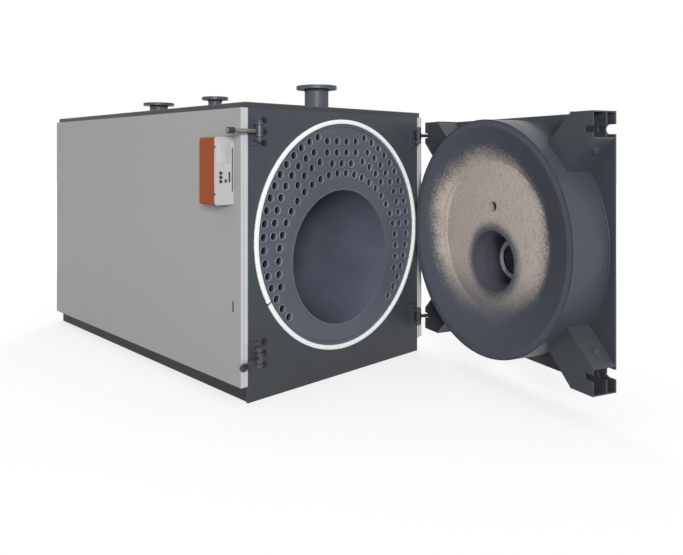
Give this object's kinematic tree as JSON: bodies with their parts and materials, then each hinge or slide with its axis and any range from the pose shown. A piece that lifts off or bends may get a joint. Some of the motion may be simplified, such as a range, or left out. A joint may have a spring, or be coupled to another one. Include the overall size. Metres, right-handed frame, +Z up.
{
  "type": "hot-water boiler",
  "caption": "Horizontal fire-tube hot-water boiler in a square insulated casing, with a hinged refractory-lined front door, swing-bolt clamps, flanged roof nozzles and a rear flue spigot.",
  "frame": {"origin": "middle of the base on the floor, under the centre cross member", "axes": "+Z up, -Y out of the front plate where the door is, +X to the right as seen from the front, on the hinge side"},
  "size_m": [2.0068, 4.4883, 1.965],
  "materials": {
    "boiler_blue": "satin dark blue-grey paint",
    "casing_grey": "satin light grey paint",
    "roof_dark": "satin dark grey paint",
    "base_black": "matt black paint",
    "tube_steel": "sooty steel",
    "gasket_white": "braided white rope",
    "refractory": "cast refractory with soot",
    "zinc_steel": "zinc-plated steel",
    "cover_orange": "matt orange",
    "fascia_pale": "matt pale grey",
    "knob_black": "matt black",
    "sight_glass": "clear heat-resistant glass"
  },
  "bodies": {
    "boiler": {"base_rails": "base_black", "base_cross_members": "base_black", "front_plate": "boiler_blue", "shell": "tube_steel", "tube_nest": "boiler_blue", "furnace_tube": "tube_steel", "door_gasket": "gasket_white", "smoke_cover": "tube_steel", "rear_panel": "casing_grey", "flue_collar": "zinc_steel", "cleaning_hatch": "boiler_blue", "drain_pipe": "zinc_steel", "flow_nozzle": "boiler_blue", "safety_nozzle": "boiler_blue", "return_nozzle": "boiler_blue", "top_socket": "zinc_steel", "control_box": "cover_orange", "control_fascia": "fascia_pale", "control_knobs": "knob_black", "hinge_lugs": "boiler_blue", "hinge_pins": "zinc_steel", "clamp_lugs": "boiler_blue", "clamp_pins": "zinc_steel", "left_panel_front": "casing_grey", "left_panel_middle": "casing_grey", "left_panel_rear": "casing_grey", "right_panel_front": "casing_grey", "right_panel_middle": "casing_grey", "right_panel_rear": "casing_grey", "roof_panel_front": "roof_dark", "roof_panel_middle": "roof_dark", "roof_panel_rear": "roof_dark"},
    "door": {"door_plate": "boiler_blue", "door_drum": "boiler_blue", "door_refractory": "refractory", "burner_flange": "boiler_blue", "sight_port": "zinc_steel", "sight_glass": "sight_glass", "clamp_blocks": "boiler_blue", "hinge_blocks": "boiler_blue", "hinge_bolts": "zinc_steel"},
    "upper_bolt": {"swing_bolt_upper": "zinc_steel", "swing_nut_upper": "zinc_steel"},
    "lower_bolt": {"swing_bolt_lower": "zinc_steel", "swing_nut_lower": "zinc_steel"}
  },
  "joints": [
    {"name": "door_hinge", "type": "hinge", "parent": "boiler", "child": "door", "pos_m": [0.761, -1.393, 0.95], "axis": [0, 0, 1], "range_deg": [-71.3, 28.7]},
    {"name": "upper_bolt_swing", "type": "hinge", "parent": "boiler", "child": "upper_bolt", "pos_m": [-0.761, -1.393, 1.625], "axis": [0, 0, -1], "range_deg": [-90, 10]},
    {"name": "lower_bolt_swing", "type": "hinge", "parent": "boiler", "child": "lower_bolt", "pos_m": [-0.761, -1.393, 0.275], "axis": [0, 0, -1], "range_deg": [-63, 37]}
  ]
}
